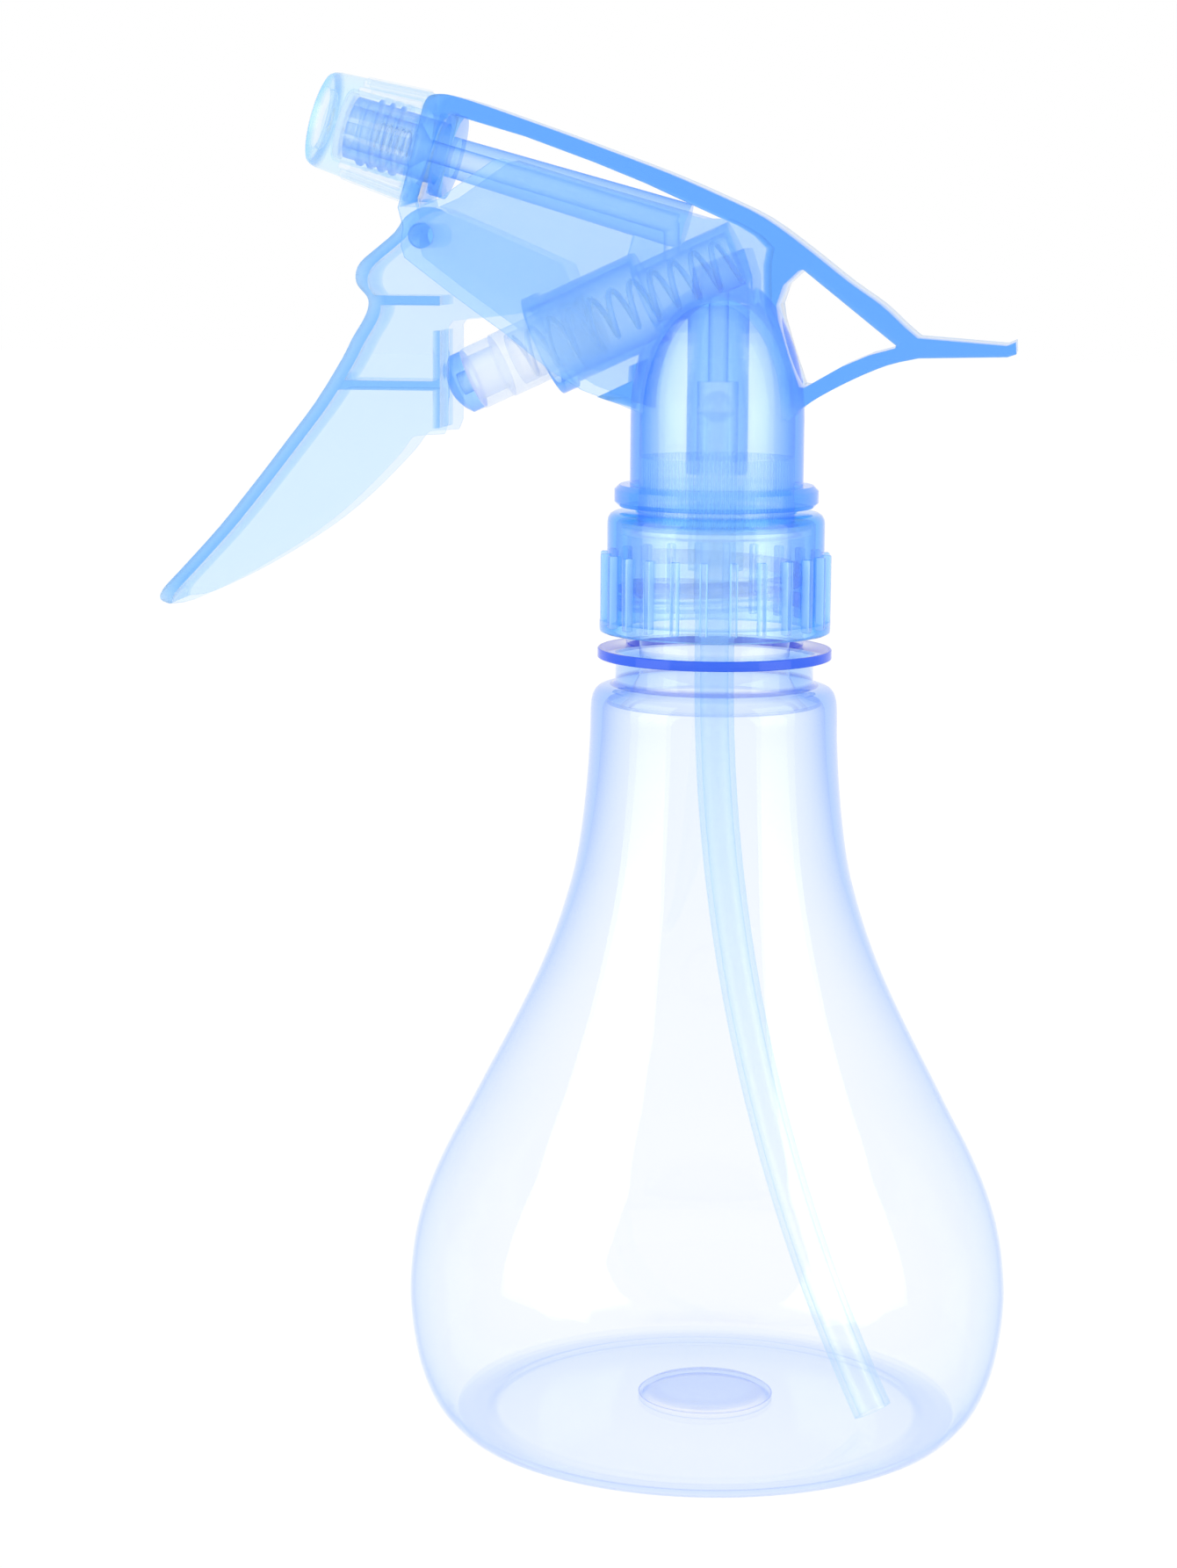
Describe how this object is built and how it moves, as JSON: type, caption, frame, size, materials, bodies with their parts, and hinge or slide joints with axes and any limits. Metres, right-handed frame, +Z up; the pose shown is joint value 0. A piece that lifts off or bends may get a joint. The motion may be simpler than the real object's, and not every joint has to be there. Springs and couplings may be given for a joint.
{
  "type": "trigger spray bottle",
  "caption": "Hand-held trigger sprayer on a pear-shaped clear bottle, with screw closure, pump, dip tube and adjustable nozzle.",
  "frame": {"origin": "centre of the bottle's standing ring, on the surface it stands on", "axes": "+Z up along the bottle, -X the way the nozzle points, +X towards the tail of the head, Y across the head"},
  "size_m": [0.1216, 0.086, 0.1919],
  "materials": {
    "bottle": "clear blown PET, very pale blue violet",
    "blue_pp": "translucent sky blue PP",
    "pale_pp": "translucent pale blue PP",
    "natural_pe": "natural translucent PE",
    "tube": "pale blue extruded tube",
    "seal": "soft natural sealing compound",
    "steel": "stainless spring wire",
    "glass": "clear glass valve balls"
  },
  "bodies": {
    "bottle": {"bottle": "bottle"},
    "seat": {"closure_gasket": "seal"},
    "closure": {"closure_cap": "blue_pp"},
    "head": {"pump_body": "blue_pp", "shroud": "pale_pp", "inlet_adapter": "blue_pp", "dip_tube": "tube", "trigger_pin": "blue_pp", "swirl_plug": "natural_pe", "piston_spring": "steel", "outlet_spring": "steel"},
    "trigger": {"trigger": "pale_pp"},
    "piston": {"piston": "natural_pe", "piston_collar": "natural_pe", "piston_button": "blue_pp", "piston_seal": "seal"},
    "inlet_ball": {"inlet_ball": "glass"},
    "outlet_ball": {"outlet_ball": "glass"},
    "nozzle_carrier": {"nozzle_seal": "seal"},
    "nozzle": {"nozzle_cap": "pale_pp"}
  },
  "joints": [
    {"name": "closure_lift", "type": "slide", "parent": "bottle", "child": "seat", "axis": [0, 0, 1], "range_m": [0, 0.00634]},
    {"name": "closure_turn", "type": "hinge", "parent": "seat", "child": "closure", "pos_m": [0, 0, 0.123], "axis": [0, 0, 1], "range_deg": [0, 540]},
    {"name": "head_swivel", "type": "hinge", "parent": "seat", "child": "head", "pos_m": [0, 0, 0.131], "axis": [0, 0, 1], "range_deg": [-180, 180]},
    {"name": "trigger_squeeze", "type": "hinge", "parent": "head", "child": "trigger", "pos_m": [-0.0407, 0, 0.1696], "axis": [0, -1, 0], "range_deg": [0, 20], "stiffness_Nm_per_rad": 0.25, "springref_deg": -14.32},
    {"name": "piston_slide", "type": "slide", "parent": "head", "child": "piston", "axis": [0.9063, 0, 0.4226], "range_m": [0, 0.007], "deforming": ["piston_spring"]},
    {"name": "inlet_ball_lift", "type": "slide", "parent": "head", "child": "inlet_ball", "axis": [0, 0, 1], "range_m": [0, 0.0012]},
    {"name": "outlet_ball_lift", "type": "slide", "parent": "head", "child": "outlet_ball", "axis": [-0.9613, 0, 0.2756], "range_m": [0, 0.0008], "stiffness_N_per_m": 60, "springref_m": -0.0006, "deforming": ["outlet_spring"]},
    {"name": "nozzle_advance", "type": "slide", "parent": "head", "child": "nozzle_carrier", "axis": [-0.9613, 0, 0.2756], "range_m": [0, 0.0024]},
    {"name": "nozzle_turn", "type": "hinge", "parent": "nozzle_carrier", "child": "nozzle", "pos_m": [-0.04215, 0, 0.1817], "axis": [-0.9613, 0, 0.2756], "range_deg": [0, 540]}
  ],
  "couplings": [
    {"joint": "closure_turn", "follows": "closure_lift", "rad_per_m": 1485.4},
    {"joint": "piston_slide", "follows": "trigger_squeeze", "m_per_rad": 0.020003},
    {"joint": "nozzle_advance", "follows": "nozzle_turn", "m_per_rad": 0.00025464}
  ]
}
